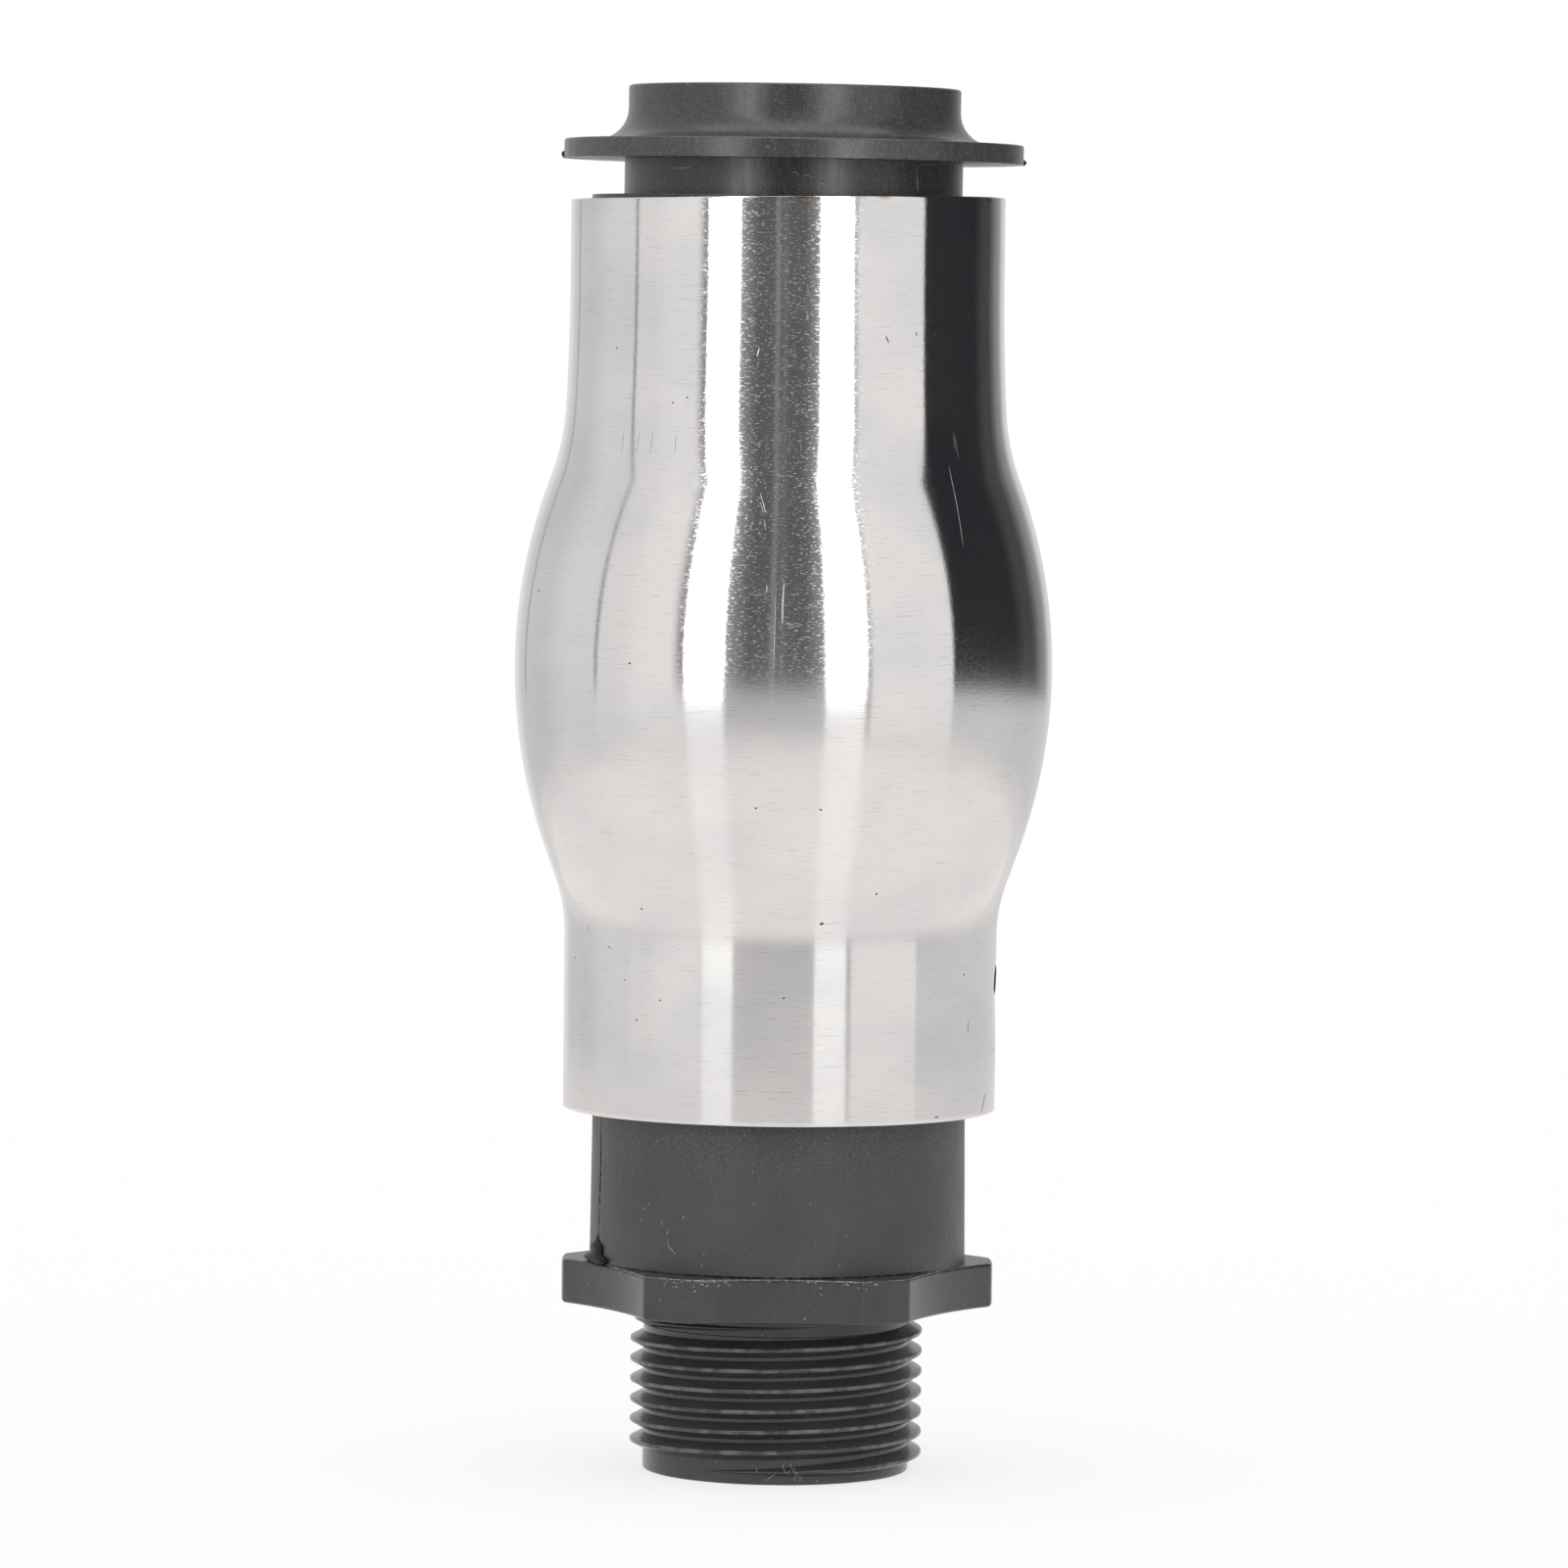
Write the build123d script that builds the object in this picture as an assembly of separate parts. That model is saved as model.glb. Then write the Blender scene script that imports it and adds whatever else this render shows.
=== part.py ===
from build123d import *
from math import acos, asin, atan2, cos, degrees, hypot, radians, sin, tan
import os

# A fountain nozzle for a frothing jet, in millimetres. The origin is the middle of the thread's end,
# +Z runs up the axis and -Y is the front. Water enters the base, leaves the jet plate as thin jets and
# drags air into the mixing tube, and the froth leaves at the rim.

# Male pipe thread, as a plain stub at its major diameter
THREAD_DIAMETER = 33.249
THREAD_ROOT_DIAMETER = 30.291
THREAD_FLANK_ANGLE = 27.5
THREADED_LENGTH = 15.4
LEAD_LENGTH = 1.3
LEAD_EDGE_RADIUS = 0.3
UNDERCUT_DIAMETER = 30.0
UNDERCUT_LENGTH = 2.3

# Wrench flange with lobes
FLANGE_THICKNESS = 5.0
LOBE_COUNT = 6
LOBE_CIRCLE_DIAMETER = 49.1
LOBE_CORNER_RADIUS = 1.2
SCALLOP_RADIUS = 43.0
SCALLOP_LEDGE = 0.2
FLANGE_EDGE_RADIUS = 0.4

# Round body, and the ring that carries the sleeve
BODY_FOOT_DIAMETER = 42.75
BODY_TOP_DIAMETER = 42.35
BODY_LENGTH_BELOW_SLEEVE = 17.3
RING_INSET = 2.0
RING_LENGTH = 17.0
RING_LEAD_CHAMFER = 0.8
FIT_CLEARANCE = 0.05

# Inlet and water chamber in the base
INLET_DIAMETER = 25.0
INLET_LENGTH = 20.0
CHAMBER_DIAMETER = 36.8
CHAMBER_FLOOR_ANGLE = 45.0

# Steel sleeve
SLEEVE_DIAMETER = 49.15
SLEEVE_WALL = 1.2
SLEEVE_LENGTH = 103.2
SLEEVE_EDGE_RADIUS = 0.2
BULGE_DIAMETER = 61.0
BULGE_HEIGHT_IN_SLEEVE = 50.1
BULGE_RADIUS = 61.0
FLARE_RADIUS = 17.5
CONE_LENGTH = 4.1
SHOULDER_RADIUS = 26.0
EASE_RADIUS = 290.0
EASE_TURN = 2.9

# Sleeve seal, a round cord squeezed in the ring's groove
SLEEVE_SEAL_CORD = 2.0
SLEEVE_SEAL_GROOVE_WIDTH = 2.6
SLEEVE_SEAL_OFFSET = 6.0
SEAL_SQUEEZE = 0.15

# Jet plate, its seal and its screws
PLATE_THICKNESS = 5.0
PLATE_INSET = 1.0
PLATE_SEAT_WIDTH = 2.0
PLATE_SEAL_CORD = 1.5
PLATE_SEAL_GROOVE_WIDTH = 2.0
MIDDLE_JET_BORE = 4.5
MIDDLE_JET_HEIGHT = 8.0
MIDDLE_JET_WALL = 1.4
RING_JET_BORE = 2.6
RING_JET_HEIGHT = 6.0
RING_JET_WALL = 1.2
RING_JET_COUNT = 6
RING_JET_CIRCLE_DIAMETER = 19.0
JET_DRAFT = 4.0
JET_FUNNEL_DEPTH = 2.0
SCREW_COUNT = 3
SCREW_CIRCLE_DIAMETER = 33.0
SCREW_DIAMETER = 2.9
SCREW_LENGTH = 13.0
SCREW_HOLE_CLEARANCE = 0.2
SCREW_HEAD_DIAMETER = 5.6
SCREW_HEAD_HEIGHT = 2.0
SCREW_HEAD_EDGE_RADIUS = 0.9
SCREW_SLOT_WIDTH = 0.8
SCREW_SLOT_LENGTH = 3.4
SCREW_SLOT_DEPTH = 1.1
BOSS_DIAMETER = 6.0
BOSS_HOLE_SPARE_DEPTH = 1.5

# Outlet collar with the mixing tube
OUTLET_DIAMETER = 35.0
NECK_DIAMETER = 38.3
AIR_GAP = 4.2
SKIRT_DIAMETER = 52.0
SKIRT_THICKNESS = 2.2
SKIRT_EDGE_RADIUS = 0.3
RIM_DIAMETER = 37.6
RIM_HEIGHT = 6.15
RIM_COVE_RADIUS = 3.55
RIM_EDGE_RADIUS = 0.3
OUTLET_CHAMFER = 0.4
MOUTH_RING_CLEARANCE = 0.62
MOUTH_RING_HEIGHT = 3.0
MOUTH_RING_PROUD = 0.1
MOUTH_RING_BAND = 1.3
MOUTH_RIB_COUNT = 8
MOUTH_RIB_WIDTH = 2.0
TUBE_REACH = 72.0
TUBE_END_CHAMFER = 0.8

# The collar sits a little askew in the sleeve's mouth
COLLAR_LEAN = 0.34
COLLAR_SHIFT = 0.56

# Heights that follow
FLANGE_BOTTOM = LEAD_LENGTH + THREADED_LENGTH + UNDERCUT_LENGTH
FLANGE_TOP = FLANGE_BOTTOM + FLANGE_THICKNESS
SLEEVE_BOTTOM = FLANGE_TOP + BODY_LENGTH_BELOW_SLEEVE
SLEEVE_TOP = SLEEVE_BOTTOM + SLEEVE_LENGTH
BASE_RING_BOTTOM = SLEEVE_BOTTOM + RING_INSET
BASE_TOP = BASE_RING_BOTTOM + RING_LENGTH
PLATE_TOP = BASE_TOP - PLATE_INSET
PLATE_BOTTOM = PLATE_TOP - PLATE_THICKNESS
SLEEVE_SEAL_HEIGHT = BASE_RING_BOTTOM + SLEEVE_SEAL_OFFSET
PLATE_SEAL_HEIGHT = PLATE_BOTTOM + PLATE_THICKNESS / 2

# Radii that follow
SLEEVE_BORE_RADIUS = SLEEVE_DIAMETER / 2 - SLEEVE_WALL
BASE_RING_RADIUS = SLEEVE_BORE_RADIUS - FIT_CLEARANCE
PLATE_SEAT_RADIUS = CHAMBER_DIAMETER / 2 + PLATE_SEAT_WIDTH
PLATE_RADIUS = PLATE_SEAT_RADIUS - FIT_CLEARANCE
MOUTH_RING_RADIUS = SLEEVE_BORE_RADIUS - MOUTH_RING_CLEARANCE


def turned(*points):
    """A solid of revolution from an outline of (radius, height) points."""
    outline = make_face(Polyline(*points, close=True))
    return revolve(Plane.XZ * outline, Axis.Z)


def cylinder(diameter, bottom, top):
    """An upright round bar between two heights."""
    return Pos(0, 0, bottom) * extrude(Circle(diameter / 2), top - bottom)


def edges_at(solid, radius, height):
    """The full circles of a turned solid at one radius and height."""
    circles = solid.edges().filter_by(GeomType.CIRCLE)
    return circles.filter_by(
        lambda edge: abs(edge.radius - radius) < 0.01 and abs(edge.arc_center.Z - height) < 0.01
    )


def squeezed_height(cord):
    """The radial height of a seal's cord once it is squeezed in its groove."""
    return cord * (1 - SEAL_SQUEEZE)


def groove_floor(bore_radius, cord):
    """The radius of a seal groove's floor, inside a bore."""
    return bore_radius - squeezed_height(cord)


def seal(bore_radius, cord, height):
    """An O-ring between a groove's floor and a bore, squeezed to an oval that keeps the cord's area."""
    radial = squeezed_height(cord)
    axial = cord ** 2 / radial
    section = Pos(bore_radius - radial / 2, height) * Ellipse(radial / 2, axial / 2)
    return revolve(Plane.XZ * section, Axis.Z)


def seal_groove(outer_radius, floor_radius, width, height):
    """The ring that is cut away for a seal."""
    return turned(
        (floor_radius, height - width / 2),
        (outer_radius + 1, height - width / 2),
        (outer_radius + 1, height + width / 2),
        (floor_radius, height + width / 2),
    )


def wrench_flange():
    """The flange: a disc with shallow scallops between its lobes, flush with the body at their floors."""
    scallop_distance = BODY_FOOT_DIAMETER / 2 + SCALLOP_LEDGE + SCALLOP_RADIUS
    scallops = PolarLocations(scallop_distance, LOBE_COUNT, start_angle=180 / LOBE_COUNT)
    outline = Circle(LOBE_CIRCLE_DIAMETER / 2) - scallops * Circle(SCALLOP_RADIUS)
    outline = fillet(outline.vertices(), LOBE_CORNER_RADIUS)
    flange = Pos(0, 0, FLANGE_BOTTOM) * extrude(outline, FLANGE_THICKNESS)
    rims = flange.faces().filter_by(Axis.Z).edges()
    return fillet(rims, FLANGE_EDGE_RADIUS)


def threaded_base():
    """The base: thread stub, flange, body and the ring that carries the sleeve, with its water chamber."""
    thread = THREAD_DIAMETER / 2
    root = THREAD_ROOT_DIAMETER / 2
    undercut = UNDERCUT_DIAMETER / 2
    foot = BODY_FOOT_DIAMETER / 2
    top = BODY_TOP_DIAMETER / 2
    thread_end = LEAD_LENGTH + THREADED_LENGTH
    last_flank = (thread - undercut) * tan(radians(THREAD_FLANK_ANGLE))
    core_bottom = FLANGE_BOTTOM + FLANGE_EDGE_RADIUS
    outside = turned(
        (0, 0),
        (root, 0),
        (root, LEAD_LENGTH),
        (thread, LEAD_LENGTH + thread - root),
        (thread, thread_end - last_flank),
        (undercut, thread_end),
        (undercut, core_bottom),
        (foot, core_bottom),
        (foot, FLANGE_TOP),
        (top, BASE_RING_BOTTOM),
        (BASE_RING_RADIUS, BASE_RING_BOTTOM),
        (BASE_RING_RADIUS, BASE_TOP),
        (0, BASE_TOP),
    )
    outside = fillet(edges_at(outside, root, 0), LEAD_EDGE_RADIUS)
    outside = chamfer(edges_at(outside, BASE_RING_RADIUS, BASE_TOP), RING_LEAD_CHAMFER)
    floor = groove_floor(SLEEVE_BORE_RADIUS, SLEEVE_SEAL_CORD)
    outside -= seal_groove(BASE_RING_RADIUS, floor, SLEEVE_SEAL_GROOVE_WIDTH, SLEEVE_SEAL_HEIGHT)

    inlet = INLET_DIAMETER / 2
    chamber = CHAMBER_DIAMETER / 2
    floor_rise = (chamber - inlet) * tan(radians(CHAMBER_FLOOR_ANGLE))
    waterway = turned(
        (0, 0),
        (inlet, 0),
        (inlet, INLET_LENGTH),
        (chamber, INLET_LENGTH + floor_rise),
        (chamber, PLATE_BOTTOM),
        (PLATE_SEAT_RADIUS, PLATE_BOTTOM),
        (PLATE_SEAT_RADIUS, BASE_TOP),
        (0, BASE_TOP),
    )
    screws = PolarLocations(SCREW_CIRCLE_DIAMETER / 2, SCREW_COUNT, start_angle=90)
    bosses = screws * cylinder(BOSS_DIAMETER, INLET_LENGTH, PLATE_BOTTOM)
    hole_bottom = PLATE_TOP - SCREW_LENGTH - BOSS_HOLE_SPARE_DEPTH
    holes = screws * cylinder(SCREW_DIAMETER, hole_bottom, PLATE_BOTTOM)
    return outside + wrench_flange() - (waterway - bosses) - holes


def sleeve_line(inset):
    """One side of the sleeve's wall, as straight runs and tangent arcs, `inset` inside the outer face."""
    end_radius = SLEEVE_DIAMETER / 2
    bulge_radius = BULGE_DIAMETER / 2
    bulge_height = SLEEVE_BOTTOM + BULGE_HEIGHT_IN_SLEEVE
    rise = bulge_radius - end_radius

    # The flare turns out just far enough for its arc, the cone and the bulge's arc to reach the bulge
    arcs = BULGE_RADIUS + FLARE_RADIUS
    flare = atan2(arcs, CONE_LENGTH) - asin((arcs - rise) / hypot(arcs, CONE_LENGTH))
    flare_bottom = bulge_height - arcs * sin(flare) - CONE_LENGTH * cos(flare)
    flare_turn = degrees(flare)

    # The shoulder turns in just far enough for the ease to end at the sleeve's own radius
    ease = radians(EASE_TURN)
    ease_fall = EASE_RADIUS * (1 - cos(ease))
    level = BULGE_RADIUS + SHOULDER_RADIUS * cos(ease) + ease_fall - rise
    shoulder_turn = degrees(acos(level / (BULGE_RADIUS + SHOULDER_RADIUS)))

    lower = Line((end_radius - inset, SLEEVE_BOTTOM), (end_radius - inset, flare_bottom))
    flare_out = JernArc(lower @ 1, lower % 1, FLARE_RADIUS + inset, -flare_turn)
    cone = Line(flare_out @ 1, flare_out @ 1 + (flare_out % 1) * CONE_LENGTH)
    bulge = JernArc(cone @ 1, cone % 1, BULGE_RADIUS - inset, flare_turn + shoulder_turn)
    turn_in = JernArc(bulge @ 1, bulge % 1, SHOULDER_RADIUS + inset, EASE_TURN - shoulder_turn)
    ease_in = JernArc(turn_in @ 1, turn_in % 1, EASE_RADIUS + inset, -EASE_TURN)
    upper = Line(ease_in @ 1, (end_radius - inset, SLEEVE_TOP))
    return [lower, flare_out, cone, bulge, turn_in, ease_in, upper]


def steel_sleeve():
    """The bulged tube, spun to one thickness, with its cut edges eased."""
    outer = sleeve_line(0)
    inner = sleeve_line(SLEEVE_WALL)
    ends = [
        Line(outer[0] @ 0, inner[0] @ 0),
        Line(outer[-1] @ 1, inner[-1] @ 1),
    ]
    wall = make_face(outer + inner + ends)
    wall = fillet(wall.vertices().group_by(Axis.Y)[0], SLEEVE_EDGE_RADIUS)
    wall = fillet(wall.vertices().group_by(Axis.Y)[-1], SLEEVE_EDGE_RADIUS)
    return revolve(Plane.XZ * wall, Axis.Z)


def jet(bore, wall, height):
    """A tapered spout and the hole through it, standing on the plate's top."""
    tip = bore / 2 + wall
    foot = tip + height * tan(radians(JET_DRAFT))
    funnel = bore / 2 + JET_FUNNEL_DEPTH / 2
    spout = turned((0, PLATE_BOTTOM), (foot, PLATE_BOTTOM), (foot, PLATE_TOP), (tip, PLATE_TOP + height),
                   (0, PLATE_TOP + height))
    hole = turned((0, PLATE_BOTTOM), (funnel, PLATE_BOTTOM), (bore / 2, PLATE_BOTTOM + JET_FUNNEL_DEPTH),
                  (bore / 2, PLATE_TOP + height), (0, PLATE_TOP + height))
    return spout, hole


def jet_plate():
    """The plate that turns the flow into jets, with a groove for its seal and holes for its screws."""
    plate = cylinder(2 * PLATE_RADIUS, PLATE_BOTTOM, PLATE_TOP)
    floor = groove_floor(PLATE_SEAT_RADIUS, PLATE_SEAL_CORD)
    plate -= seal_groove(PLATE_RADIUS, floor, PLATE_SEAL_GROOVE_WIDTH, PLATE_SEAL_HEIGHT)
    middle_spout, middle_hole = jet(MIDDLE_JET_BORE, MIDDLE_JET_WALL, MIDDLE_JET_HEIGHT)
    ring_spout, ring_hole = jet(RING_JET_BORE, RING_JET_WALL, RING_JET_HEIGHT)
    ring = PolarLocations(RING_JET_CIRCLE_DIAMETER / 2, RING_JET_COUNT)
    screws = PolarLocations(SCREW_CIRCLE_DIAMETER / 2, SCREW_COUNT, start_angle=90)
    screw_hole = cylinder(SCREW_DIAMETER + 2 * SCREW_HOLE_CLEARANCE, PLATE_BOTTOM, PLATE_TOP)
    plate += middle_spout
    plate += ring * ring_spout
    return plate - middle_hole - ring * ring_hole - screws * screw_hole


def jet_plate_screws():
    """Pan-head self-tapping screws with a cross recess, threads plain."""
    shank_end = PLATE_TOP - SCREW_LENGTH
    head_top = PLATE_TOP + SCREW_HEAD_HEIGHT
    head = cylinder(SCREW_HEAD_DIAMETER, PLATE_TOP, head_top)
    head = fillet(edges_at(head, SCREW_HEAD_DIAMETER / 2, head_top), SCREW_HEAD_EDGE_RADIUS)
    point = SCREW_DIAMETER / 2
    shank = turned((0, shank_end), (point / 2, shank_end), (point, shank_end + point), (point, PLATE_TOP),
                   (0, PLATE_TOP))
    slot = Pos(0, 0, head_top - SCREW_SLOT_DEPTH / 2) * Box(SCREW_SLOT_LENGTH, SCREW_SLOT_WIDTH, SCREW_SLOT_DEPTH)
    screw = head + shank - slot - Rot(0, 0, 90) * slot
    places = PolarLocations(SCREW_CIRCLE_DIAMETER / 2, SCREW_COUNT, start_angle=90)
    return Compound(children=places * screw)


def outlet_collar():
    """Rim, skirt, neck, ring in the sleeve's mouth and mixing tube. Height 0 is the mouth's plane."""
    neck = NECK_DIAMETER / 2
    rim = RIM_DIAMETER / 2
    skirt = SKIRT_DIAMETER / 2
    skirt_top = AIR_GAP + SKIRT_THICKNESS
    rim_top = skirt_top + RIM_HEIGHT
    ring_top = MOUTH_RING_PROUD
    ring_bottom = ring_top - MOUTH_RING_HEIGHT
    collar = turned(
        (0, -TUBE_REACH),
        (neck, -TUBE_REACH),
        (neck, ring_bottom),
        (MOUTH_RING_RADIUS, ring_bottom),
        (MOUTH_RING_RADIUS, ring_top),
        (neck, ring_top),
        (neck, AIR_GAP),
        (skirt, AIR_GAP),
        (skirt, skirt_top),
        (rim, skirt_top),
        (rim, rim_top),
        (0, rim_top),
    )
    collar = fillet(edges_at(collar, rim, skirt_top), RIM_COVE_RADIUS)
    collar = fillet(edges_at(collar, skirt, skirt_top), SKIRT_EDGE_RADIUS)
    collar = fillet(edges_at(collar, rim, rim_top), RIM_EDGE_RADIUS)
    collar -= cylinder(OUTLET_DIAMETER, -TUBE_REACH, rim_top)
    collar = chamfer(edges_at(collar, OUTLET_DIAMETER / 2, rim_top), OUTLET_CHAMFER)
    collar = chamfer(edges_at(collar, OUTLET_DIAMETER / 2, -TUBE_REACH), TUBE_END_CHAMFER)

    # Air passes between the ribs that join the ring to the neck
    slot_ring = cylinder(2 * (MOUTH_RING_RADIUS - MOUTH_RING_BAND), ring_bottom, ring_top)
    slot_ring -= cylinder(NECK_DIAMETER, ring_bottom, ring_top)
    rib_length = MOUTH_RING_RADIUS
    rib = Pos(rib_length / 2, 0, (ring_bottom + ring_top) / 2) * Box(rib_length, MOUTH_RIB_WIDTH, MOUTH_RING_HEIGHT)
    collar -= slot_ring - PolarLocations(0, MOUTH_RIB_COUNT, start_angle=180 / MOUTH_RIB_COUNT) * rib
    return Pos(COLLAR_SHIFT, 0, SLEEVE_TOP) * Rot(0, COLLAR_LEAN, 0) * collar


PIECES = {
    "threaded_base": threaded_base(),
    "steel_sleeve": steel_sleeve(),
    "sleeve_seal": seal(SLEEVE_BORE_RADIUS, SLEEVE_SEAL_CORD, SLEEVE_SEAL_HEIGHT),
    "jet_plate": jet_plate(),
    "jet_plate_seal": seal(PLATE_SEAT_RADIUS, PLATE_SEAL_CORD, PLATE_SEAL_HEIGHT),
    "jet_plate_screws": jet_plate_screws(),
    "outlet_collar": outlet_collar(),
}

os.makedirs("parts", exist_ok=True)
for name, piece in PIECES.items():
    export_step(piece, f"parts/{name}.step")
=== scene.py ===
"""Looks of a frothing-jet fountain nozzle: a polished steel sleeve between a moulded base with a pipe
thread and a moulded outlet collar. Lengths named here are millimetres, and azimuths are degrees from the
front, right positive."""
from math import acos, asin, atan2, cos, degrees, hypot, pi, radians, sin, tan
from random import Random

import bmesh
import bpy
from mathutils import Matrix, Vector
from mathutils.bvhtree import BVHTree


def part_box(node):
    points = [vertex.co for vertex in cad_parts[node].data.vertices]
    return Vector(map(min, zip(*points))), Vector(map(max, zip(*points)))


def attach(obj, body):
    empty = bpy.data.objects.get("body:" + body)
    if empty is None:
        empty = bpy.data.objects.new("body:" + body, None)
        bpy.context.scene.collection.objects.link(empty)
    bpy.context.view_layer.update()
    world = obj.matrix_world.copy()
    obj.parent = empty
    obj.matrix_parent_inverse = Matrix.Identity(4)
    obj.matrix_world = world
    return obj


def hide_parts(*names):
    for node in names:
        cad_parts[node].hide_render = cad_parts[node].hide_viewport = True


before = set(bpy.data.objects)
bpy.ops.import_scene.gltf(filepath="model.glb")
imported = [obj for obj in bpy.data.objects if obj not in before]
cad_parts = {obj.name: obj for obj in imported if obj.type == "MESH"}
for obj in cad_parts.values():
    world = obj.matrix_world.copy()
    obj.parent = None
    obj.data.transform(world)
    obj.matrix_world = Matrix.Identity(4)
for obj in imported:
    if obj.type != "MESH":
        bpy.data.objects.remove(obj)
bpy.context.view_layer.update()

MM = 0.001
ROOT = "root"

# Camera: in front and a little above, with the slight roll of the photograph
CAMERA_PLACE = (0.21, -950.0, 130.5)
CAMERA_PITCH = 3.155
CAMERA_ROLL = 0.62
CAMERA_LENS = 192.19
CAMERA_SENSOR = 36.0
CAMERA_NEAREST = 10.0
CAMERA_FARTHEST = 20000.0

# Soft light of the room: its tones near the horizon and overhead, and the rise over which they change
ROOM_LOW = (1.27, 1.27, 1.27)
ROOM_HIGH = (0.78, 0.78, 0.78)
ROOM_CHANGE = (0.10, 0.70)
WHITE = (1.0, 1.0, 1.0)

# Table top: its own tone, how white the camera sees it, and its tones where the steel mirrors it
FLOOR_RADIUS = 880.0
FLOOR_HEIGHT = -0.02
FLOOR_SEGMENTS = 96
FLOOR_TONE = (0.90, 0.89, 0.885)
FLOOR_GLOW = 0.66
FLOOR_WHITE = 1.11
TABLE_NEAR = (0.93, 0.895, 0.88)
TABLE_FAR = (0.79, 0.765, 0.755)
SHEEN = 0.12
SHEEN_BLUR = 3.0

# Studio wall that only glossy surfaces see. The room, the dark gaps and the lamps begin at their feet, and
# under a lamp's foot is the lamp as the table mirrors it.
WALL_RADIUS = 300.0
WALL_HEIGHT = 620.0
WALL_SEGMENTS = 128
WALL_FOOT = 20.0
GAP_FOOT = 69.0
LAMP_LEFT = (-40.3, -24.2)
LAMP_RIGHT = (17.2, 33.7)
LAMP_FOOT = 72.0
LAMP = (4.5, 4.5, 4.5)
LAMP_MIRRORED = (0.96, 0.95, 0.94)
CEILING = (2.1, 2.08, 2.06)

# What stands round the nozzle, as (from azimuth, blur there, to azimuth, blur there, height of its foot,
# tone). Later ones stand in front of earlier ones.
STUDIO = (
    (-190, 1.0, -40, 0.6, WALL_FOOT, (0.91, 0.895, 0.89)),
    (-190, 1.0, -66, 10.0, WALL_FOOT, (0.82, 0.808, 0.805)),
    (-190, 1.0, -84, 0.6, WALL_FOOT, (0.77, 0.77, 0.778)),
    (-190, 1.0, -112, 12.0, WALL_FOOT, (0.66, 0.66, 0.675)),
    (-190, 1.0, -151, 7.0, WALL_FOOT, (0.80, 0.80, 0.82)),
    (-140.9, 0.5, -139.2, 0.5, GAP_FOOT, (0.36, 0.36, 0.37)),
    (-84.6, 0.4, -83.0, 0.4, GAP_FOOT, (0.26, 0.255, 0.27)),
    (-44.0, 3.0, -40.0, 0.4, GAP_FOOT, (0.20, 0.185, 0.185)),
    (LAMP_LEFT[0], 0.3, LAMP_RIGHT[1], 0.3, WALL_FOOT, (0.60, 0.59, 0.59)),
    (LAMP_LEFT[0], 0.3, LAMP_RIGHT[1], 0.3, GAP_FOOT, (0.118, 0.115, 0.115)),
    (-25.0, 1.0, -18.5, 5.0, GAP_FOOT, (0.30, 0.295, 0.295)),
    (12.0, 4.0, 18.0, 1.0, GAP_FOOT, (0.27, 0.265, 0.265)),
    (LAMP_LEFT[0], 0.3, LAMP_LEFT[1], 0.8, 0.0, LAMP_MIRRORED),
    (LAMP_RIGHT[0], 0.6, LAMP_RIGHT[1], 0.3, 0.0, LAMP_MIRRORED),
    (LAMP_LEFT[0], 0.3, LAMP_LEFT[1], 0.8, LAMP_FOOT, LAMP),
    (LAMP_RIGHT[0], 0.6, LAMP_RIGHT[1], 0.3, LAMP_FOOT, LAMP),
    (LAMP_RIGHT[1], 0.3, 36.4, 0.6, WALL_FOOT, (0.52, 0.51, 0.51)),
    (36.2, 0.8, 74.4, 0.6, WALL_FOOT, (0.91, 0.895, 0.89)),
    (-5.6, 0.6, -3.6, 0.6, GAP_FOOT, (0.27, 0.267, 0.267)),
    (-1.9, 0.8, 0.3, 0.8, GAP_FOOT, (0.175, 0.172, 0.172)),
    (74.4, 0.6, 190, 1.0, WALL_FOOT, (0.70, 0.705, 0.72)),
    (74.4, 0.6, 150, 7.0, WALL_FOOT, (0.69, 0.69, 0.695)),
    (74.4, 0.6, 150, 7.0, GAP_FOOT, (0.28, 0.28, 0.29)),
    (74.4, 0.6, 136, 8.0, GAP_FOOT, (0.06, 0.06, 0.066)),
    (74.4, 0.6, 118, 6.0, GAP_FOOT, (0.018, 0.019, 0.023)),
)
FOOT_BLUR = 2.0

# Steel sleeve, as it was spun
SLEEVE_DIAMETER = 49.15
SLEEVE_WALL = 1.2
SLEEVE_EDGE_RADIUS = 0.2
BULGE_HEIGHT_IN_SLEEVE = 50.1
BULGE_RADIUS = 61.0
FLARE_RADIUS = 17.5
CONE_LENGTH = 4.1
SHOULDER_RADIUS = 26.0
EASE_RADIUS = 290.0
EASE_TURN = 2.9
MOUTH = 144.5
MOUTH_SKEW = 0.33
MOUTH_SKEW_FROM = 138.0
SLEEVE_SEGMENTS = 288
SLEEVE_OUTER_STEP = 0.6
SLEEVE_INNER_STEP = 2.4
SLEEVE_EDGE_STEPS = 4

# Polished steel: how far to each side its specks are many and where they are few, the heights over which
# they set in, and the heights over which the straw tint at the mouth sets in
SPECKS_MANY = 9.5
SPECKS_FEW = 13.5
SPECKS_LOW = 86.0
SPECKS_HIGH = 96.0
TINT_LOW = 144.15
TINT_HIGH = 144.35
STRAW = (0.50, 0.28, 0.13)

# Dent on the right side above the sleeve's lower end
DENT_AZIMUTH = 86.0
DENT_HEIGHT = 54.5
DENT_HALF_WIDTH = 9.0
DENT_HALF_HEIGHT = 5.5
DENT_DEPTH = 0.20

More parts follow.
